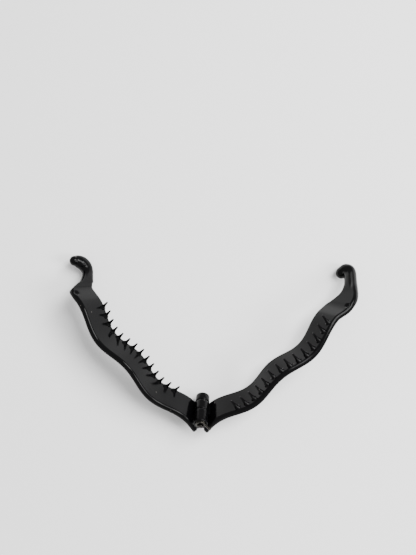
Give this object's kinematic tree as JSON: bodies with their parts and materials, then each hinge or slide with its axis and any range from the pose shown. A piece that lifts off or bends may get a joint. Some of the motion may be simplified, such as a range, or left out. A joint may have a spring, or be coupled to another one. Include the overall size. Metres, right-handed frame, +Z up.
{
  "type": "hair clip",
  "caption": "Banana-style hair sectioning clip: two wavy comb arms on a sprung hinge, with hooks at the tips that clasp when it shuts.",
  "frame": {"origin": "on the table, under the middle of the open clip's bounding box", "axes": "+Z up from the table; +X across the two arms, from the left hook to the right hook; +Y from the hinge out of the mouth of the V"},
  "size_m": [0.171, 0.106, 0.0311],
  "materials": {
    "black_plastic": "glossy injection-moulded black plastic, slightly satin on the comb faces",
    "pin_steel": "plain steel pin with cut ends",
    "spring_steel": "bright drawn spring wire"
  },
  "bodies": {
    "left": {"left_arm": "black_plastic", "hinge_pin": "pin_steel", "torsion_spring": "spring_steel"},
    "right": {"right_arm": "black_plastic"}
  },
  "joints": [
    {"name": "hinge", "type": "hinge", "parent": "left", "child": "right", "pos_m": [-0.00085, -0.03934, 0.0112], "axis": [0.0084, 0.7667, -0.6419], "range_deg": [-106, 0], "stiffness_Nm_per_rad": 0.045, "springref_deg": 20.05, "deforming": ["torsion_spring"]}
  ]
}
